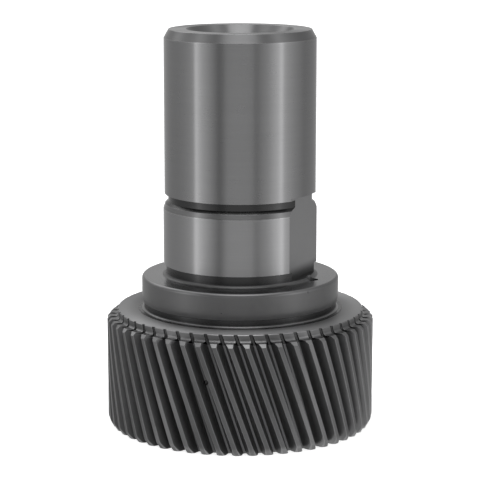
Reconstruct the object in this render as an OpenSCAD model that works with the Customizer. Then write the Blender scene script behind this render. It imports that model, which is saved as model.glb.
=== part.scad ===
// Transfer case input shaft: a hollow stepped shaft turned in one piece with
// a helical gear. The shaft stands on the gear end, +Z runs to the input end.
// Heights are measured from the gear's lower end face, all sizes in mm.
// Angles round the shaft are measured from -Y towards +X.

/* [Shaft] */
// Overall length
total_len = 129.0; // [128:0.1:132]
// Diameter of the long seal and bush surface at the input end
barrel_d = 49.2; // [48.8:0.05:49.6]
// Diameter of the ground bearing journal
journal_d = 50.0; // [49.9:0.05:50.4]
// Height of the journal's lower edge
journal_z0 = 52.9; // [52.3:0.1:53.8]
// Height of the top of the journal's cylinder
journal_z1 = 71.2; // [70:0.1:72.2]
// Diameter of the floor of the retaining ring groove
groove_d = 46.8; // [45.5:0.1:47.5]
// Height of the lower end of the groove floor
groove_z0 = 73.7; // [73.5:0.1:74.1]
// Height of the groove's upper wall
groove_z1 = 76.0; // [75.3:0.1:76.8]
// Height of the lead-in chamfer between the journal and the groove
leadin_h = 1.6; // [1:0.1:1.8]
// Diameter of the flat ring at the input end, inside the end chamfer
nose_d = 46.1; // [44:0.1:47]
// Length of the end chamfer along the shaft
nose_h = 2.8; // [1.5:0.1:4]

/* [Collar] */
// Diameter of the undercut between the journal and the collar
neck_d = 48.3; // [46.5:0.1:48.6]
// Fillet at the foot of that undercut
neck_fillet = 1.2; // [0.8:0.1:2.2]
// Diameter of the shoulder collar
collar_d = 64.3; // [62:0.1:67]
// Height of the collar's upper face
collar_z1 = 49.1; // [48.3:0.05:50.0]
// Rounding of the collar's upper edge
collar_round = 1.05; // [0.4:0.05:1.6]
// Height of the collar's lower edge
collar_z0 = 40.5; // [40.2:0.05:43]
// How far the collar draws in towards its lower edge
collar_draw = 0.4; // [0.2:0.05:0.6]
// Length over which it draws in
collar_draw_len = 3.0; // [1:0.1:4]
// Diameter of the neck between the collar and the gear
web_neck_d = 62.9; // [58:0.1:62.9]
// Fillet at the foot of that neck
web_fillet = 0.7; // [0.4:0.1:1.6]
// Diameter of the low step that the fillet runs out on
web_step_d = 66.7; // [66:0.1:68]
// Height of that step above the gear's upper end face
web_step_h = 0.15; // [0.1:0.05:0.4]

/* [Gear] */
// Number of helical teeth
teeth = 53; // [53:53]
// Module in the plane square to the teeth
module_n = 1.5; // [1.45:0.01:1.55]
// Helix angle at the pitch circle, left-hand
helix_angle = 18.9; // [0:0.1:25]
// Pressure angle in the plane square to the teeth
pressure_angle = 18.5; // [17:0.5:20]
// Width of a tooth at the pitch circle, measured round the circle
tooth_width = 2.70; // [2.4:0.05:2.8]
// Diameter over the tooth tips
tip_d = 87.3; // [86.6:0.1:87.6]
// Diameter at the bottom of the tooth gaps
root_d = 79.6; // [79.3:0.1:79.9]
// Angle of one tooth's middle at the lower end face
tooth_phase = 5.53; // [0:0.01:6.79]
// Height of the gear's upper end face, inside the teeth
gear_z1 = 38.05; // [37.5:0.05:38.4]
// Diameter of the gear's upper end face
gear_face_d = 80.1; // [79.6:0.1:80.2]
// Height of the stepped-back upper ends of the teeth
tooth_z1 = 35.7; // [35:0.1:36.3]
// Fillet between the tooth ends and the end face boss
boss_fillet = 0.7; // [0.3:0.1:0.9]
// Chamfer at the tooth tips' upper ends
tip_chamfer = 1.0; // [0.5:0.1:1.4]
// Radial size of the chamfer at the tooth tips' lower ends
foot_chamfer_r = 1.2; // [0.6:0.1:1.6]
// Length of the chamfer at the tooth tips' lower ends
foot_chamfer_h = 2.0; // [1:0.1:2.6]

/* [Oil flat and oil hole] */
// Distance from the axis to the oil flat across the journal
flat_dist = 22.4; // [22.1:0.05:22.8]
// Angle of the oil flat
flat_az = 65; // [0:359]
// Height of the oil flat's upper end
flat_z1 = 76.85; // [76.2:0.05:78]
// Height of the oil flat's lower end
flat_z0 = 50.2; // [49.9:0.05:51.3]
// Diameter of the oil hole in the collar
oil_d = 3.8; // [2.5:0.1:4.5]
// Distance of the oil hole from the axis
oil_r = 25.4; // [24.8:0.1:27]
// Angle of the oil hole
oil_az = 66.5; // [0:0.5:359]

/* [Bore] */
// Diameter of the conical mouth at the input end face
mouth_d = 34.8; // [34.2:0.1:36]
// Angle of the mouth's wall to the shaft's axis
mouth_angle = 35; // [25:1:45]
// Diameter of the plain bore between the mouth and the spline
plain_d = 30.6; // [30.4:0.1:32]
// Depth of the plain bore's lower end below the input end face
mouth_depth = 6.5; // [5:0.5:10]
// Number of straight spline teeth in the input bore
spline_teeth = 27; // [26:28]
// Diameter inside the spline teeth
spline_minor_d = 27.5; // [27.2:0.05:27.8]
// Diameter at the bottom of the spline gaps
spline_major_d = 30.0; // [29.6:0.05:30.1]
// Height of the lower end of the spline
spline_z0 = 78; // [70:0.5:90]
// Length of the clearance ring below the spline
relief_len = 4; // [3:0.5:6]
// Diameter of the passage between the two bores
passage_d = 25; // [16:0.5:27]
// Diameter of the pilot bearing bore at the gear end
pilot_d = 28; // [27.5:0.1:30]
// Height of the pilot bearing bore's inner end
pilot_z1 = 44; // [36:0.5:50]
// Diameter of the recess in the gear end
recess_d = 60; // [56:0.5:64]
// Depth of the recess in the gear end
recess_depth = 16; // [8:0.5:22]

/* [Hidden] */

$fn = 96;
eps = 0.01;

barrel_r = barrel_d / 2;
journal_r = journal_d / 2;
groove_r = groove_d / 2;
collar_r = collar_d / 2;
neck_r = neck_d / 2;
web_neck_r = web_neck_d / 2;
tip_r = tip_d / 2;
root_r = root_d / 2;
face_r = gear_face_d / 2;
nose_r = nose_d / 2;

// Gear geometry in the plane square to the shaft
pitch_r = teeth * module_n / (2 * cos(helix_angle));
alpha_t = atan(tan(pressure_angle) / cos(helix_angle));
base_r = pitch_r * cos(alpha_t);
lead = helix_angle == 0 ? 1e9 : 2 * PI * pitch_r / tan(helix_angle);
twist_per_mm = 360 / lead;

// Involute function, in degrees
function inv(a) = tan(a) * 180 / PI - a;
// Half of a tooth's angle at radius r
function half_tooth(r) =
    (tooth_width / (2 * pitch_r)) * 180 / PI
    + inv(alpha_t) - inv(acos(min(1, base_r / r)));
// Half of a tooth gap's angle at radius r
function half_gap(r) = 180 / teeth - half_tooth(r);
function polar(r, a) = [r * cos(a), r * sin(a)];

// Radii at which each flank of a gap is placed
flank_r = [tip_r + 0.5, tip_r - 0.8, tip_r - 2.1, root_r + 0.3];
root_half = half_gap(root_r + 0.3) - 0.25;

// Length of the conical mouth along the shaft
mouth_h = (mouth_d - plain_d) / 2 / tan(mouth_angle);

// Spline flank, as a slope between the two diameters
spline_gap_major = 0.42 * 360 / spline_teeth / 2;
spline_gap_minor = 0.58 * 360 / spline_teeth / 2;

// A quarter-round filling for an inside corner whose walls run up and out
module inside_fillet(x, z, r) {
    translate([x, z]) difference() {
        translate([-eps, -eps]) square(r + eps);
        translate([r, r]) circle(r);
    }
}

// The waste outside a rounded corner at the top of a step
module round_waste_up(x, z, r) {
    translate([x - r, z - r]) difference() {
        square(r + 1);
        circle(r);
    }
}

// Outline of the turned blank, from the axis outwards
module blank_profile() {
    difference() {
        union() {
            polygon(concat([
                [0, 0],
                [tip_r - foot_chamfer_r, 0],
                [tip_r, foot_chamfer_h],
                [tip_r, tooth_z1 - tip_chamfer],
                [tip_r - tip_chamfer, tooth_z1],
                [face_r + 0.15, tooth_z1],
                [face_r + 0.15, gear_z1 - 0.25],
                [face_r - 0.1, gear_z1],
                [web_step_d / 2, gear_z1],
                [web_step_d / 2, gear_z1 + web_step_h],
                [web_neck_r, gear_z1 + web_step_h],
                [web_neck_r, collar_z0]
            ], [
                for (t = [0 : 0.25 : 1])
                    [collar_r - collar_draw * (1 - t) * (1 - t), collar_z0 + collar_draw_len * t]
            ], [
                [collar_r, collar_z1],
                [neck_r, collar_z1],
                [neck_r, journal_z0],
                [journal_r - 0.15, journal_z0],
                [journal_r, journal_z0 + 0.15],
                [journal_r, journal_z1],
                [journal_r - leadin_h * tan(20), journal_z1 + leadin_h],
                [groove_r, groove_z0],
                [groove_r, groove_z1],
                [barrel_r - 0.1, groove_z1],
                [barrel_r, groove_z1 + 0.1],
                [barrel_r, total_len - nose_h],
                [nose_r, total_len],
                [0, total_len]
            ]));
            inside_fillet(neck_r, collar_z1, neck_fillet);
            inside_fillet(web_neck_r, gear_z1 + web_step_h, web_fillet);
            inside_fillet(face_r + 0.15, tooth_z1, boss_fillet);
        }
        round_waste_up(collar_r, collar_z1, collar_round);
    }
}

// Outline of everything bored out along the axis
module bore_profile() {
    polygon([
        [0, -1],
        [recess_d / 2 + 0.6, -1],
        [recess_d / 2 + 0.6, 0],
        [recess_d / 2, 0.6],
        [recess_d / 2, recess_depth],
        [pilot_d / 2 + 0.8, recess_depth],
        [pilot_d / 2, recess_depth + 0.8],
        [pilot_d / 2, pilot_z1],
        [passage_d / 2, pilot_z1 + 0.8],
        [passage_d / 2, spline_z0 - relief_len],
        [plain_d / 2, spline_z0 - relief_len],
        [plain_d / 2, spline_z0],
        [spline_minor_d / 2, spline_z0],
        [spline_minor_d / 2, total_len - mouth_depth - (plain_d - spline_minor_d) / 2],
        [plain_d / 2, total_len - mouth_depth],
        [plain_d / 2, total_len - mouth_h],
        [mouth_d / 2, total_len],
        [mouth_d / 2, total_len + 1],
        [0, total_len + 1]
    ]);
}

// One gap between two teeth, twisted along the left-hand helix
module tooth_gap() {
    z0 = -1;
    h = gear_z1 + 2;
    rotate([0, 0, -z0 * twist_per_mm])
        translate([0, 0, z0])
            linear_extrude(height = h, twist = h * twist_per_mm, slices = 4, segments = 1, $fn = 8)
                polygon(concat(
                    [for (r = flank_r) polar(r, half_gap(r))],
                    [polar(root_r, root_half), polar(root_r, -root_half)],
                    [for (i = [len(flank_r) - 1 : -1 : 0])
                        polar(flank_r[i], -half_gap(flank_r[i]))]
                ));
}

// One straight gap of the input spline
module spline_gap() {
    translate([0, 0, spline_z0 - eps])
        linear_extrude(height = total_len - mouth_depth - spline_z0 + 2 * eps)
            polygon([
                polar(spline_minor_d / 2 - 0.4, spline_gap_minor),
                polar(spline_minor_d / 2 - 0.4, -spline_gap_minor),
                polar(spline_major_d / 2, -spline_gap_major),
                polar(spline_major_d / 2, spline_gap_major)
            ]);
}

// Waste cut away beyond the oil flat
module oil_flat_waste() {
    rotate([0, 0, flat_az - 90])
        translate([flat_dist, -20, flat_z0])
            cube([10, 40, flat_z1 - flat_z0]);
}

module input_shaft() {
    color([0.40, 0.40, 0.41])
    difference() {
        rotate_extrude($fn = 144) blank_profile();
        rotate_extrude($fn = 144) bore_profile();
        for (i = [0 : teeth - 1])
            rotate([0, 0, tooth_phase - 90 + (i + 0.5) * 360 / teeth]) tooth_gap();
        for (i = [0 : spline_teeth - 1])
            rotate([0, 0, i * 360 / spline_teeth]) spline_gap();
        oil_flat_waste();
        rotate([0, 0, oil_az - 90])
            translate([oil_r, 0, recess_depth - 1])
                cylinder(d = oil_d, h = collar_z1 - recess_depth + 3, $fn = 32);
    }
}

input_shaft();
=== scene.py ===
"""Transfer case input shaft: the finished look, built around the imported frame.

One piece, turned and cut from one forging. Its surface is built here at a finer
resolution than the frame's own mesh, to the same dimensions: true involute
flanks on a true helix, round fillets, small edge breaks, the oil flat, the oil
hole and the nick in one tooth.

Lengths in the geometry part are in millimetres and are turned into metres when
the mesh is made. Angles round the shaft run from -Y towards +X, in degrees.
"""

import math

import bpy
import numpy as np
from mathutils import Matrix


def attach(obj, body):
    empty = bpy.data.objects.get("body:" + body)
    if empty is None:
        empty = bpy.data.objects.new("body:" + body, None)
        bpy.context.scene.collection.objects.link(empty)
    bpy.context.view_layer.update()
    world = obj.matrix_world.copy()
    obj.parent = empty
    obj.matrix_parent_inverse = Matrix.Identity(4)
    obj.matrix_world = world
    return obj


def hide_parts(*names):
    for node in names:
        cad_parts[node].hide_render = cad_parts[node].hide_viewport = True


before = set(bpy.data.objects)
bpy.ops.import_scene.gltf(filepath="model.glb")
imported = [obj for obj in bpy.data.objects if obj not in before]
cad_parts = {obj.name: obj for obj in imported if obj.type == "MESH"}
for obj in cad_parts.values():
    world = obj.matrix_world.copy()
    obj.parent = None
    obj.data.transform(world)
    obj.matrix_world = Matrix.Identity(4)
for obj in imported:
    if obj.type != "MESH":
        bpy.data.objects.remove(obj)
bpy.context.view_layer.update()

MM = 0.001

# ---------------------------------------------------------------- dimensions

TOTAL = 129.0
BARREL_R = 24.6
JOURNAL_R = 25.0
JOURNAL_Z0, JOURNAL_Z1 = 52.9, 71.2
LEADIN_H = 1.6
LEADIN_R = JOURNAL_R - LEADIN_H * math.tan(math.radians(20))
GROOVE_R = 23.4
GROOVE_Z0, GROOVE_Z1 = 73.7, 76.0
NOSE_R, NOSE_H = 23.05, 2.8
NECK_R, NECK_FILLET = 24.15, 1.2
COLLAR_R, COLLAR_Z0, COLLAR_Z1 = 32.15, 40.5, 49.1
COLLAR_DRAW, COLLAR_DRAW_LEN = 0.4, 3.0
WEB_R, WEB_FILLET = 31.45, 0.7
WEB_STEP_R, WEB_STEP_H = 33.35, 0.15

TEETH = 53
MODULE = 1.5
HELIX = math.radians(18.9)
PRESSURE = math.radians(18.5)
TOOTH_WIDTH = 2.70
TIP_R, ROOT_R = 43.65, 39.8
TOOTH_PHASE = 5.53
GEAR_Z1, TOOTH_Z1 = 38.05, 35.7
BOSS_R = 40.2
TIP_CHAMFER = 1.0
RIM_CHAMFER = 0.22
FOOT_R, FOOT_H = 42.45, 2.0
TIP_BREAK = 0.10
FOOT_BREAK = 0.62
ROOT_FILLET = 0.36

FLAT_DIST, FLAT_AZ, FLAT_Z0, FLAT_Z1 = 22.4, 65.0, 50.2, 76.85
OIL_D, OIL_R, OIL_AZ = 3.8, 25.4, 66.5

MOUTH_R, PLAIN_R, MOUTH_DEPTH = 17.4, 15.3, 6.5
MOUTH_H = (MOUTH_R - PLAIN_R) / math.tan(math.radians(35))
SPLINE_TEETH, SPLINE_MINOR_R, SPLINE_MAJOR_R, SPLINE_Z0 = 27, 13.75, 15.0, 78.0
RELIEF_Z0 = 74.0
PASSAGE_R = 12.5
PILOT_R, PILOT_Z1 = 14.0, 44.0
RECESS_R, RECESS_DEPTH = 30.0, 16.0

# material slots, in this order
# the dark slot is painted shade: a darker steel put on the neck, under the collar, in the tooth gaps by the boss and
# on the walls of the small dents
GROUND, JOURNAL, CHAMFER, FLAT, TURNED, FACE, SHOULDER, BLANK, DARK_SHADE, TOOTH, FLANK, BORE = range(12)

COLUMNS = 12 * SPLINE_TEETH  # columns round the shaft, outside the gear


# ------------------------------------------------------------------- outline


def path(points):
    """Follows corner points (r, z, rounding radius), rounding each corner, and
    returns segments: a list of (r, z, normal r, normal z), and a mark that is 1
    on a rounded outside corner, -1 in a fillet and 0 elsewhere. The material
    lies on the left of the direction of travel."""
    pts = [np.array(p[:2], float) for p in points]
    rad = [p[2] for p in points]
    segments = []
    here = pts[0]
    for i in range(1, len(pts)):
        d1 = pts[i] - pts[i - 1]
        d1 = d1 / np.linalg.norm(d1)
        normal = np.array([d1[1], -d1[0]])
        if i == len(pts) - 1 or rad[i] <= 0:
            segments.append(([(*here, *normal), (*pts[i], *normal)], 0))
            here = pts[i]
            continue
        d2 = pts[i + 1] - pts[i]
        d2 = d2 / np.linalg.norm(d2)
        cross = d1[0] * d2[1] - d1[1] * d2[0]
        turn = math.acos(max(-1.0, min(1.0, float(d1 @ d2))))
        reach = rad[i] * math.tan(turn / 2)
        start, end = pts[i] - d1 * reach, pts[i] + d2 * reach
        if np.linalg.norm(start - here) > 1e-6:
            segments.append(([(*here, *normal), (*start, *normal)], 0))
        side = 1.0 if cross > 0 else -1.0
        centre = start + side * rad[i] * np.array([-d1[1], d1[0]])
        step = 9.0 if rad[i] > 1.5 else 15.0 if rad[i] > 0.4 else 30.0
        n = max(2, int(math.ceil(math.degrees(turn) / step - 0.01)))
        arc = []
        a0 = start - centre
        for k in range(n + 1):
            a = side * turn * k / n
            v = np.array(
                [a0[0] * math.cos(a) - a0[1] * math.sin(a), a0[0] * math.sin(a) + a0[1] * math.cos(a)]
            )
            p = centre + v
            nn = side * v / rad[i]
            arc.append((*p, *nn))
        segments.append((arc, int(side) if rad[i] < 2 else 0))
        here = end
    return segments


def rows_of(segments):
    """Rows of vertices along the path: r, z, normal seen from the strip before,
    normal seen from the strip after, and the mark of the strip after."""
    rows = []
    for points, mark in segments:
        for k, (r, z, nr, nz) in enumerate(points):
            if k == 0 and rows:
                rows[-1][3:] = [(nr, nz), mark]
            else:
                rows.append([r, z, (nr, nz), (nr, nz), mark])
    return rows


def split_long(rows, longest):
    """Adds rows where two of them are further apart than longest."""
    out = [rows[0]]
    for a, b in zip(rows, rows[1:]):
        n = int(math.ceil(math.hypot(b[0] - a[0], b[1] - a[1]) / longest - 1e-9))
        for k in range(1, n):
            t = k / n
            nn = tuple(np.array(a[3]) * (1 - t) + np.array(b[2]) * t)
            out.append([a[0] + (b[0] - a[0]) * t, a[1] + (b[1] - a[1]) * t, nn, nn, a[4]])
        out.append(b)
    return out


# ---------------------------------------------------------------------- skin


class Skin:
    """Collects vertices, faces, a normal for each face corner and a material for
    each face."""

    def __init__(self):
        self.points, self.count = [], 0
        self.faces, self.normals, self.slots, self.marks = [], [], [], []

    def ring(self, xyz):
        xyz = np.asarray(xyz, float)
        ids = np.arange(self.count, self.count + len(xyz))
        self.points.append(xyz)
        self.count += len(xyz)
        return ids

    def strip(self, a, b, na, nb, slot, marks=0):
        """Quads between two closed rings of the same length. na and nb are the
        corner normals along each ring, or None for flat faces. slot and marks
        are one value or one for each face."""
        n = len(a)
        nxt = np.roll(np.arange(n), -1)
        quads = np.stack([a, a[nxt], b[nxt], b], axis=1)
        if na is None:
            p = np.vstack(self.points)[quads]
            f = np.cross(p[:, 2] - p[:, 0], p[:, 3] - p[:, 1])
            f /= np.linalg.norm(f, axis=1)[:, None] + 1e-20
            corner = np.repeat(f[:, None, :], 4, axis=1)
        else:
            corner = np.stack([na, na[nxt], nb[nxt], nb], axis=1)
        self.faces.extend(quads.tolist())
        self.normals.append(corner.reshape(-1, 3))
        self.slots.extend(np.broadcast_to(slot, n).tolist())
        self.marks.extend(np.broadcast_to(marks, n).tolist())

    def annulus(self, a, b, normal, slot):
        """Triangles between two closed rings of different lengths in one plane.
        Both run the same way round, and a comes before b along the outline."""
        pts = np.vstack(self.points)

        def turned(ids):
            ang = np.degrees(np.arctan2(pts[ids, 0], -pts[ids, 1])) % 360
            k = int(np.argmin(ang))
            return np.roll(ids, -k), np.roll(ang, -k)

        a, ta = turned(a)
        b, tb = turned(b)
        i = j = 0
        faces = []
        while i < len(a) or j < len(b):
            na = ta[i + 1] if i + 1 < len(a) else ta[0] + 360
            nb = tb[j + 1] if j + 1 < len(b) else tb[0] + 360
            ai, bj = a[i % len(a)], b[j % len(b)]
            if j >= len(b) or (i < len(a) and na <= nb):
                faces.append([int(ai), int(a[(i + 1) % len(a)]), int(bj)])
                i += 1
            else:
                faces.append([int(ai), int(b[(j + 1) % len(b)]), int(bj)])
                j += 1
        self.faces.extend(faces)
        self.normals.append(np.tile(np.array(normal, float), (3 * len(faces), 1)))
        self.slots.extend([slot] * len(faces))
        self.marks.extend([0] * len(faces))

    def mesh(self, name, materials):
        me = bpy.data.meshes.new(name)
        me.from_pydata((np.vstack(self.points) * MM).tolist(), [], self.faces)
        me.polygons.foreach_set("material_index", np.array(self.slots, np.int32))
        me.polygons.foreach_set("use_smooth", np.ones(len(self.faces), bool))
        for m in materials:
            me.materials.append(m)
        at = me.attributes.new("finish_normal", "FLOAT_VECTOR", "CORNER")
        at.data.foreach_set("vector", np.vstack(self.normals).astype(np.float32).ravel())
        at = me.attributes.new("edge_mark", "FLOAT", "FACE")
        at.data.foreach_set("value", np.array(self.marks, np.float32))
        me.update()
        return me


def polar(r, az, z):
    """Points at radius r, azimuth az (degrees) and height z."""
    a = np.radians(az)
    r, a, z = np.broadcast_arrays(np.asarray(r, float), a, np.asarray(z, float))
    return np.stack([r * np.sin(a), -r * np.cos(a), z], axis=-1)


def lathe_normals(az, n):
    a = np.radians(az)
    v = np.stack([n[0] * np.sin(a), -n[0] * np.cos(a), np.full(len(a), n[1])], axis=1)
    return v / np.linalg.norm(v, axis=1)[:, None]


# the columns are laid so that one falls on the middle of each spline gap
COLUMN_AZ = 90 + (np.arange(COLUMNS) - 2) * 360.0 / COLUMNS

skin = Skin()


def lathe(rows, slot_at, first=None):
    """Strips through rows, starting at ring first where it is given. Returns the
    first and the last ring."""
    rings = []
    for k, row in enumerate(rows):
        if k == 0 and first is not None:
            rings.append(first)
        else:
            rings.append(skin.ring(polar(row[0], COLUMN_AZ, row[1])))
    for k in range(len(rows) - 1):
        a, b = rows[k], rows[k + 1]
        slot = slot_at((a[0] + b[0]) / 2, (a[1] + b[1]) / 2)
        near, far = lathe_normals(COLUMN_AZ, a[3]), lathe_normals(COLUMN_AZ, b[2])
        skin.strip(rings[k], rings[k + 1], near, far, slot, a[4])
    return rings[0], rings[-1]


# ---------------------------------------------------------------- outer shaft

INNER_RING = 39.0
outer = path(
    [
        (INNER_RING, GEAR_Z1, 0),
        (WEB_STEP_R, GEAR_Z1, 0),
        (WEB_STEP_R, GEAR_Z1 + WEB_STEP_H, 0.05),
        (WEB_R, GEAR_Z1 + WEB_STEP_H, WEB_FILLET),
        (WEB_R, COLLAR_Z0, 0.06),
        (COLLAR_R - COLLAR_DRAW, COLLAR_Z0, 0.12),
        (COLLAR_R - COLLAR_DRAW * 0.25, COLLAR_Z0 + COLLAR_DRAW_LEN * 0.5, 9.0),
        (COLLAR_R, COLLAR_Z0 + COLLAR_DRAW_LEN, 9.0),
        (COLLAR_R, COLLAR_Z1, 1.05),
        (NECK_R, COLLAR_Z1, NECK_FILLET),
        (NECK_R, JOURNAL_Z0, 0.12),
        (JOURNAL_R, JOURNAL_Z0, 0.18),
        (JOURNAL_R, JOURNAL_Z1, 0.8),
        (LEADIN_R, JOURNAL_Z1 + LEADIN_H, 0.15),
        (GROOVE_R, GROOVE_Z0, 0.15),
        (GROOVE_R, GROOVE_Z1, 0.12),
        (BARREL_R, GROOVE_Z1, 0.12),
        (BARREL_R, TOTAL - NOSE_H, 0.5),
        (NOSE_R, TOTAL, 0.22),
        (MOUTH_R, TOTAL, 0.12),
        (PLAIN_R, TOTAL - MOUTH_H, 0.1),
        (PLAIN_R, TOTAL - MOUTH_DEPTH, 0),
    ]
)


def outer_slot(r, z):
    if r < PLAIN_R + 0.02:
        return BORE
    if z > TOTAL - NOSE_H + 0.1:
        return TURNED if z > TOTAL - 0.02 else CHAMFER
    if z > GROOVE_Z1 + 0.06:
        return GROUND
    if r > LEADIN_R - 0.05 and z > JOURNAL_Z0 + 0.1:
        return JOURNAL if z < JOURNAL_Z1 else CHAMFER
    if z > COLLAR_Z1 + 0.02:
        # the neck's fillet takes a lighter steel than the neck: painted highlight line
        fillet = z < COLLAR_Z1 + NECK_FILLET * 0.75
        return FLANK if fillet else DARK_SHADE
    # lighter turned steel on the foot of the web fillet: painted highlight line
    if r < WEB_R + WEB_FILLET * 0.93 and GEAR_Z1 < z < GEAR_Z1 + WEB_STEP_H + WEB_FILLET * 0.4:
        return TURNED
    # the collar's rounded top edge takes a lighter steel than its wall: painted highlight
    if z > COLLAR_Z1 - 0.95:
        return SHOULDER if z > COLLAR_Z1 - 0.05 else FLANK
    if z < GEAR_Z1 + 0.01:
        return FACE
    # under the collar the dark slot paints shade
    return BLANK if z > COLLAR_Z0 + 0.1 else DARK_SHADE


face_ring, mouth_ring = lathe(split_long(rows_of(outer), 6.0), outer_slot)

# ---------------------------------------------------------------- the spline

pitch = 360.0 / SPLINE_TEETH
major = 0.42 * pitch / 2
at_low = 0.58 * pitch / 2
share = (SPLINE_MINOR_R - (SPLINE_MINOR_R - 0.4)) / (SPLINE_MAJOR_R - (SPLINE_MINOR_R - 0.4))
minor = at_low + (major - at_low) * share


def spline_ring(land_r, z):
    """One ring of the spline, whose land is at land_r. Twelve columns a gap."""
    k = (land_r - SPLINE_MINOR_R) / (SPLINE_MAJOR_R - SPLINE_MINOR_R)
    crest = minor + (major - minor) * k
    inner = [crest + (pitch - 2 * crest) * i / 8 for i in range(1, 8)]
    off = [-crest, -major, 0.0, major, crest, *inner]
    if k > 0.9:
        off[0], off[4] = off[0] - 0.06, off[4] + 0.06
    radii = [land_r, SPLINE_MAJOR_R, SPLINE_MAJOR_R, SPLINE_MAJOR_R, land_r] + [land_r] * 7
    az, rr = [], []
    for t in range(SPLINE_TEETH):
        az.extend(90 + t * pitch + o for o in off)
        rr.extend(radii)
    return skin.ring(polar(np.array(rr), np.array(az), z))


z_open = TOTAL - MOUTH_DEPTH
chain = [mouth_ring]
for land in (PLAIN_R - 0.32, (PLAIN_R + SPLINE_MINOR_R) / 2, SPLINE_MINOR_R):
    chain.append(spline_ring(land, z_open - (PLAIN_R - land)))
for k in range(1, 5):
    top = z_open - (PLAIN_R - SPLINE_MINOR_R)
    chain.append(spline_ring(SPLINE_MINOR_R, top + (SPLINE_Z0 - top) * k / 4))
for a, b in zip(chain, chain[1:]):
    skin.strip(a, b, None, None, BORE)

relief_ring = skin.ring(polar(PLAIN_R, COLUMN_AZ, SPLINE_Z0))
skin.strip(chain[-1], relief_ring, None, None, BORE)

# ------------------------------------------------- bore, recess and end face

inner = path(
    [
        (PLAIN_R, SPLINE_Z0, 0),
        (PLAIN_R, RELIEF_Z0, 0.15),
        (PASSAGE_R, RELIEF_Z0, 0.15),
        (PASSAGE_R, PILOT_Z1 + 0.8, 0),
        (PILOT_R, PILOT_Z1, 0),
        (PILOT_R, RECESS_DEPTH + 0.8, 0.08),
        (PILOT_R + 0.8, RECESS_DEPTH, 0.08),
        (RECESS_R, RECESS_DEPTH, 0.5),
        (RECESS_R, 0.6, 0.06),
        (RECESS_R + 0.6, 0, 0.06),
        (INNER_RING, 0, 0),
    ]
)


def inner_slot(r, z):
    if z < 0.05:
        return TURNED
    return BORE


_, foot_ring = lathe(split_long(rows_of(inner), 8.0), inner_slot, first=relief_ring)

# ------------------------------------------------------------- helical teeth

pitch_r = TEETH * MODULE / (2 * math.cos(HELIX))
alpha_t = math.atan(math.tan(PRESSURE) / math.cos(HELIX))
base_r = pitch_r * math.cos(alpha_t)
twist = math.tan(HELIX) / pitch_r  # radians for each millimetre of height
half_pitch = math.pi / TEETH


def half_gap(r):
    """Half of a tooth gap's angle at radius r, in radians."""
    a = np.arccos(np.clip(base_r / r, -1, 1))
    inv = np.tan(a) - a
    inv_t = math.tan(alpha_t) - alpha_t
    return half_pitch - (TOOTH_WIDTH / (2 * pitch_r) + inv_t - inv)


def gap_curve():
    """Half of a gap's cross-section, from its middle outwards: angle, radius."""
    rr = np.linspace(ROOT_R + 0.02, TIP_R + 0.05, 900)
    dd = half_gap(rr)
    xy = np.stack([rr * np.sin(dd), rr * np.cos(dd)], axis=1)
    t = np.gradient(xy, axis=0)
    t /= np.linalg.norm(t, axis=1)[:, None]
    n = np.stack([-t[:, 1], t[:, 0]], axis=1)  # into the gap
    c = xy + n * ROOT_FILLET
    miss = np.hypot(c[:, 0], c[:, 1]) - (ROOT_R + ROOT_FILLET)
    k = int(np.argmin(np.abs(miss)))
    centre = c[k]
    a_root = math.atan2(centre[0], centre[1])
    foot = np.array([math.sin(a_root), math.cos(a_root)]) * ROOT_R
    land = np.linspace(0, a_root, 12)[:-1]
    v0, v1 = foot - centre, xy[k] - centre
    t0, t1 = math.atan2(v0[1], v0[0]), math.atan2(v1[1], v1[0])
    if t1 < t0 - math.pi:
        t1 += 2 * math.pi
    arc_t = np.linspace(t0, t1, 40)[:-1]
    arc = centre + ROOT_FILLET * np.stack([np.cos(arc_t), np.sin(arc_t)], axis=1)
    ang = np.concatenate([land, np.arctan2(arc[:, 0], arc[:, 1]), dd[k:]])
    rad = np.concatenate([np.full(len(land), ROOT_R), np.hypot(arc[:, 0], arc[:, 1]), rr[k:]])
    return ang, rad


CURVE_A, CURVE_R = gap_curve()
_x, _y = CURVE_R * np.sin(CURVE_A), CURVE_R * np.cos(CURVE_A)
CURVE_S = np.concatenate([[0], np.cumsum(np.hypot(np.diff(_x), np.diff(_y)))])
_first_up = int(np.argmax(CURVE_R > ROOT_R + 1e-6))
CURVE_DR = np.gradient(CURVE_R, CURVE_S)
CURVE_DT = CURVE_R * np.gradient(CURVE_A, CURVE_S)
CURVE_DR[:_first_up] = 0
CURVE_DT[:_first_up] = 1

FRACTIONS = np.array([0, 0.055, 0.095, 0.135, 0.175, 0.36, 0.57, 0.785, 1.0])


def tip_break(z):
    """Rounding of the tooth's edges, larger towards the lower end of the gear."""
    return TIP_BREAK + (FOOT_BREAK - TIP_BREAK) * max(0.0, 1 - z / 2.6) ** 2


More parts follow.
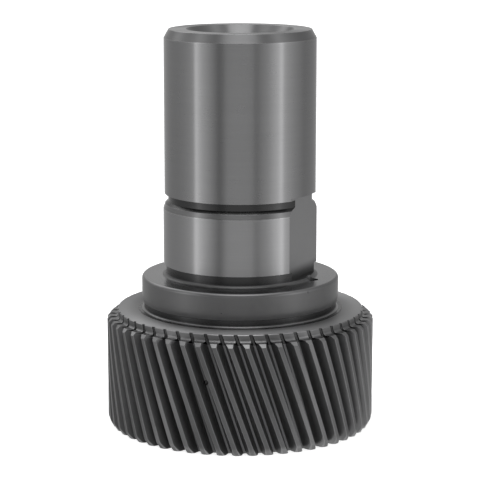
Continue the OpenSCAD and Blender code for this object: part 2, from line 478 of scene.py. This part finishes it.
def gear_row(R, z, zb, n_in, n_out):
    """One row round the gear, whose teeth end at radius R. z is the height of
    the tooth's crown on this row and zb that of the gap's floor. Returns the
    points and the corner normals for the strip below and the strip above."""
    edge = tip_break(z)
    lean = np.array([1.0, 0.0])
    if 0.001 < z < GEAR_Z1 - 0.001:
        lean = np.array(n_in) + np.array(n_out)
        lean /= np.linalg.norm(lean)
    rc, zc = R - edge * lean[0], z - edge * lean[1]
    s_end = np.interp(rc, CURVE_R[_first_up - 1 :], CURVE_S[_first_up - 1 :])
    s = FRACTIONS * s_end
    ang = np.interp(s, CURVE_S, CURVE_A)
    rad = np.interp(s, CURVE_S, CURVE_R)
    dr = np.interp(s, CURVE_S, CURVE_DR)
    dt = np.interp(s, CURVE_S, CURVE_DT)
    zz = zb + (zc - zb) * FRACTIONS
    # crown: where the flank would meet radius R, then the tip break and the land
    at_R = float(np.interp(np.interp(R, CURVE_R[_first_up - 1 :], CURVE_S[_first_up - 1 :]), CURVE_S, CURVE_A))
    brk = edge / R
    mid_a, mid_r = at_R + 0.29 * brk, R - 0.29 * edge * lean[0]
    edge_a = at_R + brk
    land_a = [edge_a, (edge_a + half_pitch) / 2, half_pitch]
    ang = np.concatenate([ang, [mid_a], land_a])
    rad = np.concatenate([rad, [mid_r], [R] * 3])
    zz = np.concatenate([zz, [z - 0.29 * edge * lean[1]], [z] * 3])
    gap_n = np.stack([dt, -dr, -rad[: len(dr)] * twist * dr], axis=1)
    gap_n /= np.linalg.norm(gap_n, axis=1)[:, None]

    def crown(n):
        return np.array([n[0], 0.0, n[1]]) / math.hypot(*n)

    out = []
    for n in (n_in, n_out):
        c = crown(n)
        m = gap_n[-1] + c
        m /= np.linalg.norm(m)
        out.append(np.vstack([gap_n, m, c, c, c]))
    # both halves: left half mirrored, then the right half
    k = len(ang)
    a_full = np.concatenate([-ang[::-1], ang[1:-1]])
    r_full = np.concatenate([rad[::-1], rad[1:-1]])
    z_full = np.concatenate([zz[::-1], zz[1:-1]])
    n_full = []
    for n in out:
        mirrored = n[::-1] * np.array([1, -1, 1])
        # the helix term keeps the same sense on both flanks, so it changes sign with the side
        mirrored = mirrored.copy()
        flank = len(mirrored) - len(gap_n)
        mirrored[flank:, 2] = -n[::-1][flank:, 2]
        full = np.vstack([mirrored, n[1:-1]])
        n_full.append(full)
    centre = math.radians(TOOTH_PHASE) + half_pitch
    az_all, r_all, z_all, n_all = [], [], [], [[], []]
    for i in range(TEETH):
        az = centre + 2 * half_pitch * i + a_full - twist * z_full
        az_all.append(az)
        r_all.append(r_full)
        z_all.append(z_full)
        for q in range(2):
            nr, nt, nz = n_full[q].T
            er = np.stack([np.sin(az), -np.cos(az)], axis=1)
            et = np.stack([np.cos(az), np.sin(az)], axis=1)
            xy = er * nr[:, None] + et * nt[:, None]
            n_all[q].append(np.column_stack([xy, nz]))
    az = np.concatenate(az_all)
    pts = polar(np.concatenate(r_all), np.degrees(az), np.concatenate(z_all))
    return pts, np.vstack(n_all[0]), np.vstack(n_all[1])


crown_path = path(
    [
        (FOOT_R, 0, 0),
        (TIP_R, FOOT_H, 3.0),
        (TIP_R, TOOTH_Z1 - TIP_CHAMFER, 0.12),
        (TIP_R - TIP_CHAMFER, TOOTH_Z1, 0.12),
        (BOSS_R, TOOTH_Z1, 0.7),
        (BOSS_R, GEAR_Z1 - RIM_CHAMFER, 0.05),
        (BOSS_R - RIM_CHAMFER, GEAR_Z1, 0.05),
        (BOSS_R - RIM_CHAMFER - 0.04, GEAR_Z1, 0),
    ]
)
crown_rows = split_long(rows_of(crown_path), 5.6)
length = [0.0]
for a, b in zip(crown_rows, crown_rows[1:]):
    length.append(length[-1] + math.hypot(b[0] - a[0], b[1] - a[1]))
start = max(k for k, row in enumerate(crown_rows) if row[1] < TOOTH_Z1 - TIP_CHAMFER - 0.5)
floor_z = []
for k, row in enumerate(crown_rows):
    if k <= start:
        floor_z.append(row[1])
    else:
        share = (length[k] - length[start]) / (length[-1] - length[start])
        floor_z.append(crown_rows[start][1] + (GEAR_Z1 - crown_rows[start][1]) * share)

gear_rings, gear_normals = [], []
for row, zb in zip(crown_rows, floor_z):
    pts, n_in, n_out = gear_row(row[0], row[1], zb, row[2], row[3])
    gear_rings.append(skin.ring(pts))
    gear_normals.append((n_in, n_out))
columns = len(gear_rings[0]) // TEETH
crown_mark = [abs(k - columns // 2 + 0.5) > 8 for k in range(columns)]  # columns outside the gap
# tip_mark: the tooth tips' rounded edges, lightened in the material: partly real wear, partly painted highlight
tip_mark = [8 < abs(k - columns // 2 + 0.5) < 10.4 for k in range(columns)]


def gear_slots(r, z, along):
    """Materials of the crown and of the gap on one row."""
    if z < TOOTH_Z1 - TIP_CHAMFER:
        return TOOTH, FLANK
    if r > TIP_R - TIP_CHAMFER:
        return CHAMFER, FLANK
    # lighter turned steel on the boss fillet and the rim chamfer paints their highlight lines; the dark slot in the
    # gaps there is painted shade
    painted_highlight = along == -1 or z > GEAR_Z1 - RIM_CHAMFER
    return (TURNED if painted_highlight else FLANK), DARK_SHADE


for k in range(len(gear_rings) - 1):
    a, b = crown_rows[k], crown_rows[k + 1]
    marks = np.where(tip_mark, 1.0, np.where(crown_mark, float(a[4]), 0.0))
    crown_slot, gap_slot = gear_slots((a[0] + b[0]) / 2, (a[1] + b[1]) / 2, a[4])
    slots = np.where(crown_mark, crown_slot, gap_slot)
    near, far = gear_normals[k][1], gear_normals[k + 1][0]
    skin.strip(gear_rings[k], gear_rings[k + 1], near, far, np.tile(slots, TEETH), np.tile(marks, TEETH))



def inside_ring(ring, r):
    """A plain circle of radius r with a vertex under each vertex of ring."""
    p = np.vstack(skin.points)[ring]
    return skin.ring(polar(r, np.degrees(np.arctan2(p[:, 0], -p[:, 1])), p[0, 2]))


up = np.tile([0.0, 0.0, 1.0], (len(gear_rings[0]), 1))
top_inside = inside_ring(gear_rings[-1], ROOT_R - 0.25)
skin.strip(gear_rings[-1], top_inside, up, up, FACE)
skin.annulus(top_inside, face_ring, (0, 0, 1), FACE)
foot_inside = inside_ring(gear_rings[0], ROOT_R - 0.25)
skin.annulus(foot_ring, foot_inside, (0, 0, -1), TURNED)
skin.strip(foot_inside, gear_rings[0], -up, -up, TURNED)


# ---------------------------------------------------- flat, oil hole and nick


def direction(az):
    a = math.radians(az)
    return np.array([math.sin(a), -math.cos(a), 0.0]), np.array([math.cos(a), math.sin(a), 0.0])


def plain_mesh(name, points, faces):
    me = bpy.data.meshes.new(name)
    me.from_pydata((np.array(points, float) * MM).tolist(), [], faces)
    me.update()
    return me


def box_mesh(name, az, near, far, half_width, z0, z1):
    e, t = direction(az)
    pts = []
    for z in (z0, z1):
        for d, w in ((near, -half_width), (far, -half_width), (far, half_width), (near, half_width)):
            pts.append(e * d + t * w + np.array([0, 0, z]))
    faces = [[0, 3, 2, 1], [4, 5, 6, 7], [0, 1, 5, 4], [1, 2, 6, 5], [2, 3, 7, 6], [3, 0, 4, 7]]
    return plain_mesh(name, pts, faces)


def rod_mesh(name, az, at, radius, z0, z1, sides):
    e, t = direction(az)
    pts, faces = [], []
    for z in (z0, z1):
        for k in range(sides):
            a = 2 * math.pi * k / sides
            pts.append(e * (at + radius * math.cos(a)) + t * radius * math.sin(a) + np.array([0, 0, z]))
    for k in range(sides):
        n = (k + 1) % sides
        faces.append([k, n, sides + n, sides + k])
    faces.append(list(range(sides))[::-1])
    faces.append(list(range(sides, 2 * sides)))
    return plain_mesh(name, pts, faces)


def pit_mesh(name, az, at, z, radius, height):
    """A barrel-shaped cutter, for a small dent in an edge or a wall."""
    e, t = direction(az)
    sides, pts, faces = 10, [], []
    for share, lift in ((0.35, -0.5), (1.0, -0.2), (1.0, 0.25), (0.3, 0.5)):
        for k in range(sides):
            a = 2 * math.pi * k / sides
            r = radius * share
            pts.append(e * (at + r * math.cos(a)) + t * r * math.sin(a) + np.array([0, 0, z + lift * height]))
    for row in range(3):
        for k in range(sides):
            n = (k + 1) % sides
            faces.append([row * sides + k, row * sides + n, (row + 1) * sides + n, (row + 1) * sides + k])
    faces.append(list(range(sides))[::-1])
    faces.append(list(range(3 * sides, 4 * sides)))
    return plain_mesh(name, pts, faces)


def cut(obj, cutters):
    """Cuts the cutters out of obj and returns the resulting mesh."""
    holders = []
    for me in cutters:
        holder = bpy.data.objects.new("cutter", me)
        bpy.context.scene.collection.objects.link(holder)
        holders.append(holder)
        mod = obj.modifiers.new("cut", "BOOLEAN")
        mod.operation = "DIFFERENCE"
        mod.solver = "MANIFOLD"
        mod.object = holder
    graph = bpy.context.evaluated_depsgraph_get()
    graph.update()
    result = bpy.data.meshes.new_from_object(obj.evaluated_get(graph), preserve_all_data_layers=True, depsgraph=graph)
    obj.modifiers.clear()
    for holder in holders:
        me = holder.data
        bpy.data.objects.remove(holder)
        bpy.data.meshes.remove(me)
    return result


# ------------------------------------------------------------------ materials


class Nodes:
    """A short hand for building node trees."""

    def __init__(self, tree):
        self.tree = tree
        tree.nodes.clear()

    def add(self, kind, values=None, **settings):
        node = self.tree.nodes.new(kind)
        for key, value in settings.items():
            setattr(node, key, value)
        for key, value in (values or {}).items():
            if isinstance(value, bpy.types.NodeSocket):
                self.tree.links.new(value, node.inputs[key])
            else:
                node.inputs[key].default_value = value
        return node

    def math(self, operation, a, b=0.0, c=None, clamp=False):
        values = {0: a, 1: b}
        if c is not None:
            values[2] = c
        return self.add("ShaderNodeMath", values, operation=operation, use_clamp=clamp).outputs[0]

    def span(self, value, low, high, to_low=0.0, to_high=1.0, smooth=True):
        """Maps low..high to to_low..to_high, held at both ends."""
        kind = "SMOOTHSTEP" if smooth else "LINEAR"
        values = {0: value, 1: low, 2: high, 3: to_low, 4: to_high}
        return self.add("ShaderNodeMapRange", values, interpolation_type=kind).outputs[0]

    def noise(self, vector, w, detail=2.0, rough=0.5):
        values = {"Vector": vector, "W": w, "Scale": 1.0, "Detail": detail, "Roughness": rough}
        return self.add("ShaderNodeTexNoise", values, noise_dimensions="4D").outputs[0]


def metal(
    name, base, spread, rough, rough_spread, aniso, grain, bump, smear=0.0, foot=None, inner=None, metallic=1.0,
    edge=0.16, oil=0.0,
):
    """Machined steel. grain is the spacing of the tool's marks in millimetres
    and bump their depth in micrometres; smear adds soft blotches of old oil,
    foot darkens the surface from one height down to another and inner from one
    radius in to another, both as painted shade; edge lightens the rounded edges,
    partly real wear and partly painted highlight, and darkens the fillets as
    painted shade; oil adds a thin film that shines where it is seen edge on."""
    mat = bpy.data.materials.new(name)
    mat.use_nodes = True
    n = Nodes(mat.node_tree)
    place = n.add("ShaderNodeTexCoord").outputs["Object"]
    part = n.add("ShaderNodeSeparateXYZ", {0: place}).outputs
    radius = n.math("SQRT", n.math("ADD", n.math("MULTIPLY", part[0], part[0]), n.math("MULTIPLY", part[1], part[1])))
    ux = n.math("DIVIDE", part[0], radius)
    uy = n.math("DIVIDE", part[1], radius)

    def around(turns, per_mm):
        """A seamless place on the shaft: turns is the detail round it, per_mm
        the detail along its outline."""
        v = n.add(
            "ShaderNodeCombineXYZ",
            {
                0: n.math("MULTIPLY", ux, turns),
                1: n.math("MULTIPLY", uy, turns),
                2: n.math("MULTIPLY", part[2], per_mm * 1000),
            },
        ).outputs[0]
        return v, n.math("MULTIPLY", radius, per_mm * 1000)

    fine = n.noise(*around(2.6, 1.0 / grain), detail=3.0, rough=0.65)
    coarse = n.noise(*around(1.3, 0.16 / grain), detail=2.0)
    blotch = n.noise(*around(5.0, 0.11), detail=4.0, rough=0.6)
    cloud = n.noise(*around(1.8, 0.025), detail=2.0)
    mark = n.add("ShaderNodeAttribute", attribute_name="edge_mark").outputs["Fac"]

    tone = n.math("MULTIPLY", n.math("SUBTRACT", fine, 0.5), spread)
    tone = n.math("MULTIPLY_ADD", n.math("SUBTRACT", coarse, 0.5), spread, tone)
    tone = n.math("MULTIPLY_ADD", n.math("SUBTRACT", cloud, 0.5), spread * 0.9, tone)
    # edge_mark: painted highlight on the rounded edges, partly real wear, and painted shade in the fillets, where the
    # mark is -1
    tone = n.math("MULTIPLY_ADD", mark, edge, tone)
    if smear:
        tone = n.math("MULTIPLY_ADD", n.span(blotch, 0.5, 0.72), -smear, tone)
    tone = n.math("ADD", tone, 1.0)
    # foot: painted shade, darker towards the bottom
    if foot:
        tone = n.math("MULTIPLY", tone, n.span(part[2], foot[0] * MM, foot[1] * MM, foot[2], 1.0))
    # inner: painted shade, darker towards the axis
    if inner:
        tone = n.math("MULTIPLY", tone, n.span(radius, inner[0] * MM, inner[1] * MM, inner[2], 1.0))
    colour = n.add(
        "ShaderNodeVectorMath", {0: (base, base, base * 1.012), 3: tone}, operation="SCALE"
    ).outputs[0]

    gloss = n.math("MULTIPLY_ADD", n.math("SUBTRACT", fine, 0.5), rough_spread, rough)
    gloss = n.math("MULTIPLY_ADD", n.math("SUBTRACT", blotch, 0.5), rough_spread, gloss)
    gloss = n.math("MULTIPLY_ADD", mark, -0.05, gloss, clamp=True)

    height = n.math("MULTIPLY_ADD", coarse, 0.6, n.math("MULTIPLY", fine, 0.4))
    bumped = n.add("ShaderNodeBump", {"Strength": 1.0, "Distance": bump * 1e-6, "Height": height}).outputs[0]
    tangent = n.add("ShaderNodeTangent", direction_type="RADIAL", axis="Z").outputs[0]
    shader = n.add(
        "ShaderNodeBsdfPrincipled",
        {
            "Base Color": colour,
            "Metallic": metallic,
            "Roughness": gloss,
            "Anisotropic": aniso,
            "Anisotropic Rotation": 0.25,
            "Coat Weight": oil,
            "Coat Roughness": 0.32,
            "Normal": bumped,
            "Tangent": tangent,
        },
    )
    n.add("ShaderNodeOutputMaterial", {"Surface": shader.outputs[0]})
    return mat


materials = [
    metal("steel_ground", 0.335, 0.08, 0.28, 0.03, 1.0, 0.16, 0.4),
    metal("steel_journal", 0.395, 0.08, 0.31, 0.03, 1.0, 0.16, 0.4),
    metal("steel_chamfer", 0.255, 0.10, 0.30, 0.04, 0.9, 0.30, 1.0),
    # the flat's foot darkening is painted shade: it stands in for the dark reflection of the collar in the low part
    # of the flat
    metal("steel_flat", 0.41, 0.08, 0.34, 0.04, 0.6, 0.30, 0.4, foot=(51.0, 55.0, 0.2)),
    metal("steel_turned", 0.30, 0.12, 0.30, 0.06, 0.90, 0.30, 1.5),
    # the face's inner darkening is painted shade, standing in for the collar's shade and dark reflection near the web
    metal("steel_face", 0.37, 0.10, 0.44, 0.06, 0.86, 0.34, 1.5, inner=(33.0, 38.8, 0.56), metallic=0.95),
    metal("steel_shoulder", 0.25, 0.10, 0.24, 0.05, 0.40, 0.34, 1.5),
    metal("steel_blank", 0.112, 0.12, 0.50, 0.08, 0.0, 0.34, 2.0, smear=0.08, metallic=0.72, oil=0.95),
    # the dark steel is painted shade for recesses and for the parts under the collar
    metal("steel_dark_shade", 0.08, 0.14, 0.27, 0.06, 0.50, 0.34, 1.5, smear=0.10),
    # edge=0.6 makes the lightening of the tooth edges strong: partly real wear, partly painted highlight
    metal("steel_teeth", 0.148, 0.12, 0.36, 0.10, 0.20, 0.50, 2.0, smear=0.10, metallic=0.9, edge=0.6, oil=0.6),
    metal("steel_flank", 0.175, 0.12, 0.36, 0.10, 0.20, 0.50, 2.0, smear=0.10, metallic=0.87),
    metal("steel_bore", 0.27, 0.14, 0.40, 0.10, 0.60, 0.40, 3.0, smear=0.10),
]

# ----------------------------------------------------------------- the piece

raw = skin.mesh("input_shaft_body", materials)
source = raw.attributes.new("source_face", "INT", "FACE")
source.data.foreach_set("value", np.arange(1, len(raw.polygons) + 1, dtype=np.int32))
body = bpy.data.objects.new("input_shaft_body", raw)
bpy.context.scene.collection.objects.link(body)

finished = cut(
    body,
    [
        box_mesh("flat_waste", FLAT_AZ, FLAT_DIST, FLAT_DIST + 10, 20, FLAT_Z0, FLAT_Z1),
        rod_mesh("oil_waste", OIL_AZ, OIL_R, OIL_D / 2, RECESS_DEPTH - 1, COLLAR_Z1 + 2, 64),
        pit_mesh("nick", -13.7, TIP_R - 0.7, 23.55, 0.95, 2.0),
        pit_mesh("nick_foot", -15.45, ROOT_R - 0.05, 22.4, 0.62, 1.7),
        pit_mesh("speck", -10.6, COLLAR_R + 0.05, 42.9, 0.22, 0.40),
        pit_mesh("scratch", 41.7, COLLAR_R + 0.06, 48.0, 0.14, 0.9),
    ],
)


def read(attribute, key, width, kind):
    out = np.zeros(len(attribute) * width, kind)
    attribute.foreach_get(key, out)
    return out.reshape(-1, width) if width > 1 else out


def finish_normals(me):
    """Sets the corner normals: those of the surface that was cut, kept by the
    Boolean, and on the new faces those of the flat and of the hole."""
    count = len(me.polygons)
    origin = read(me.attributes["source_face"].data, "value", 1, np.int32)
    kept = read(me.attributes["finish_normal"].data, "vector", 3, np.float32).astype(float)
    face_n = read(me.polygons, "normal", 3, np.float32).astype(float)
    loops = read(me.polygons, "loop_total", 1, np.int32)
    owner = np.repeat(np.arange(count), loops)
    where = read(me.vertices, "co", 3, np.float32)[read(me.loops, "vertex_index", 1, np.int32)]
    size = np.linalg.norm(kept, axis=1)
    kept = kept / np.maximum(size, 1e-9)[:, None]
    own = face_n[owner]
    poor = (size < 0.2) | (np.einsum("ij,ij->i", kept, own) < -0.35)
    kept[poor] = own[poor]
    e, _ = direction(OIL_AZ)
    from_hole = (where - e * OIL_R * MM) * np.array([1, 1, 0])
    reach = np.linalg.norm(from_hole, axis=1)
    new = origin[owner] == 0
    wall = new & (np.abs(own[:, 2]) < 0.01) & (np.abs(reach - OIL_D / 2 * MM) < 2e-5)
    kept[new] = own[new]
    kept[wall] = -from_hole[wall] / reach[wall][:, None]
    slots = read(me.polygons, "material_index", 1, np.int32)
    middle = read(me.polygons, "center", 3, np.float32)
    high = middle[:, 2] > (COLLAR_Z1 + 0.5) * MM
    outside = np.hypot(middle[:, 0], middle[:, 1]) > (COLLAR_R - 0.6) * MM
    slots[(origin == 0) & high] = FLAT
    slots[(origin == 0) & ~high] = BORE
    # the walls of the nick, the speck and the scratch take the dark slot: painted shade in the dents
    slots[(origin == 0) & outside] = DARK_SHADE
    me.polygons.foreach_set("material_index", slots)
    me.polygons.foreach_set("use_smooth", np.ones(count, bool))
    me.normals_split_custom_set(kept.tolist())
    me.attributes.remove(me.attributes["finish_normal"])
    me.attributes.remove(me.attributes["source_face"])
    me.update()


finish_normals(finished)
finished.name = "input_shaft_body"
body.data = finished
bpy.data.meshes.remove(raw)

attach(body, "root")
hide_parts("input_shaft")

# --------------------------------------------------------------- studio floor

floor_mat = bpy.data.materials.new("studio_floor")
floor_mat.use_nodes = True
n = Nodes(floor_mat.node_tree)
paper = n.noise(n.add("ShaderNodeTexCoord").outputs["Object"], 0.0)
tint = n.span(paper, 0.3, 0.7, 0.985, 1.0)
tint = n.add("ShaderNodeVectorMath", {0: (0.9, 0.9, 0.9), 3: tint}, operation="SCALE").outputs[0]
sheet = n.add("ShaderNodeBsdfDiffuse", {"Color": tint}).outputs[0]
glow = n.add("ShaderNodeEmission", {"Color": (1, 1, 1, 1), "Strength": 0.72}).outputs[0]
both = n.add("ShaderNodeAddShader", {0: sheet, 1: glow}).outputs[0]
clear = n.add("ShaderNodeBsdfTransparent").outputs[0]
under = n.add("ShaderNodeNewGeometry").outputs["Backfacing"]
n.add("ShaderNodeOutputMaterial", {"Surface": n.add("ShaderNodeMixShader", {0: under, 1: both, 2: clear}).outputs[0]})

floor_mesh = bpy.data.meshes.new("studio_floor")
floor_mesh.from_pydata([(-9, -9, 0), (9, -9, 0), (9, 9, 0), (-9, 9, 0)], [], [(0, 1, 2, 3)])
floor_mesh.materials.append(floor_mat)
floor = bpy.data.objects.new("studio_floor", floor_mesh)
bpy.context.scene.collection.objects.link(floor)
floor.visible_glossy = False

# --------------------------------------------------------------- studio light

world = bpy.data.worlds.new("studio")
bpy.context.scene.world = world
world.use_nodes = True
n = Nodes(world.node_tree)
way = n.add("ShaderNodeSeparateXYZ", {0: n.add("ShaderNodeTexCoord").outputs["Generated"]}).outputs
turn = n.math("ABSOLUTE", n.math("ARCTAN2", way[0], n.math("MULTIPLY", way[1], -1.0)))
side = n.math("SIGN", way[0])
lift = n.math("ARCSINE", way[2])
turn = n.math("MULTIPLY", turn, 180 / math.pi)
lift = n.math("MULTIPLY", lift, 180 / math.pi)


def profile(value, stops):
    """A light level for each angle, straight between the stops."""
    low, high = stops[0][0], stops[-1][0]
    ramp = n.add("ShaderNodeValToRGB", {0: n.span(value, low, high, smooth=False)})
    ramp.color_ramp.interpolation = "LINEAR"
    el = ramp.color_ramp.elements
    while len(el) > 1:
        el.remove(el[-1])
    for k, (at, level) in enumerate(stops):
        e = el[0] if k == 0 else el.new((at - low) / (high - low))
        e.position = (at - low) / (high - low)
        e.color = (level / 2, level / 2, level / 2, 1)
    return n.math("MULTIPLY", ramp.outputs[0], 2.0)


right = profile(
    turn,
    [(0, 0.53), (17, 0.52), (25, 0.32), (34, 0.50), (44, 0.62), (50, 0.78), (61, 1.0), (63.5, 1.6), (66, 1.6),
     (69, 0.95), (76, 0.74), (90, 0.54), (112, 0.33), (135, 0.35), (155, 0.38), (180, 0.5)],
)
left = profile(
    turn,
    [(0, 0.53), (20, 0.53), (25, 0.38), (32, 0.22), (38, 0.38), (46, 0.54), (58, 0.74), (66, 1.05), (68.5, 1.6),
     (71, 1.6), (73.5, 0.70), (82, 0.58), (94, 0.48), (108, 0.41), (125, 0.40), (150, 0.44), (180, 0.55)],
)
band = n.add("ShaderNodeMix", {0: n.span(side, -1, 1, smooth=False), 2: left, 3: right}, data_type="FLOAT").outputs[0]
# a darker zone in front between the low light and the one overhead
gap = n.math("MULTIPLY", n.span(lift, 0, 14), n.span(lift, 44, 30))
gap = n.math("MULTIPLY", gap, n.span(turn, 60, 30))
band = n.math("MULTIPLY", band, n.math("MULTIPLY_ADD", gap, -0.72, 1.0))
# higher up: a dark gap in front on each side of the light overhead
upper = profile(
    turn, [(0, 0.80), (36, 0.80), (48, 0.32), (58, 0.32), (76, 0.66), (86, 0.66), (106, 0.40), (180, 0.5)]
)
above = n.add("ShaderNodeMix", {0: n.span(lift, 24, 42), 2: band, 3: upper}, data_type="FLOAT").outputs[0]
dip = n.math("MULTIPLY", n.span(lift, 40, 48), n.math("MULTIPLY", n.span(lift, 62, 56), n.span(turn, 50, 36)))
above = n.math("MULTIPLY", above, n.math("MULTIPLY_ADD", dip, -0.36, 1.0))
flank_light = n.math("MULTIPLY", n.span(lift, 53, 66), n.span(turn, 68, 90))
above = n.add("ShaderNodeMix", {0: flank_light, 2: above, 3: 1.3}, data_type="FLOAT").outputs[0]
above = n.add("ShaderNodeMix", {0: n.span(lift, 74, 86), 2: above, 3: 1.3}, data_type="FLOAT").outputs[0]
near_top = n.math("MULTIPLY_ADD", way[1], -0.2756, n.math("MULTIPLY", way[2], 0.9613))
above = n.add("ShaderNodeMix", {0: n.span(near_top, 0.934, 0.963), 2: above, 3: 2.1}, data_type="FLOAT").outputs[0]
# a soft light behind the shaft, high on the left
rear = n.math("MULTIPLY", n.span(turn, 106, 134), n.span(turn, 176, 160))
rear = n.math("MULTIPLY", rear, n.math("MULTIPLY", n.span(lift, 19, 34), n.span(lift, 70, 56)))
rear = n.math("MULTIPLY", rear, n.span(side, 0.5, -0.5, smooth=False))
above = n.math("MULTIPLY_ADD", rear, 1.15, above)
# the table: darker than the band, lighter on the right
low_right = profile(turn, [(0, 1.0), (70, 1.0), (120, 1.25), (180, 1.25)])
low_left = profile(turn, [(0, 1.0), (70, 1.0), (100, 0.78), (120, 0.68), (180, 0.68)])
low = n.add("ShaderNodeMix", {0: n.span(side, -1, 1, smooth=False), 2: low_left, 3: low_right}, data_type="FLOAT").outputs[0]
low = n.math("MULTIPLY", low, n.span(lift, -42, -18, 1.4, 1.0))
low = n.add("ShaderNodeMix", {0: n.span(lift, -22, -9), 2: low, 3: 1.0}, data_type="FLOAT").outputs[0]
level = n.math("MULTIPLY", above, low)
behind = n.math("MULTIPLY", n.span(turn, 160, 172), n.span(lift, 3, -4))
level = n.add("ShaderNodeMix", {0: behind, 2: level, 3: 1.1}, data_type="FLOAT").outputs[0]
seen = n.add("ShaderNodeLightPath").outputs["Is Camera Ray"]
level = n.add("ShaderNodeMix", {0: seen, 2: level, 3: 1.0}, data_type="FLOAT").outputs[0]
sky = n.add("ShaderNodeBackground", {"Color": (1, 1, 1, 1), "Strength": level})
n.add("ShaderNodeOutputWorld", {"Surface": sky.outputs[0]})

# --------------------------------------------------------------------- camera

cam = bpy.data.cameras.new("photo_camera")
cam.lens = 138.36
cam.sensor_width = 36.0
cam.clip_start, cam.clip_end = 0.02, 40.0
camera = bpy.data.objects.new("photo_camera", cam)
camera.location = (-0.00005, -0.59188, 0.1754)
camera.rotation_euler = (math.radians(78.977), 0, 0)
bpy.context.scene.collection.objects.link(camera)
bpy.context.scene.camera = camera
bpy.context.scene.view_settings.view_transform = "Standard"
bpy.context.scene.view_settings.look = "None"

# --------------------------------------------------------------------- finish

bpy.context.view_layer.update()
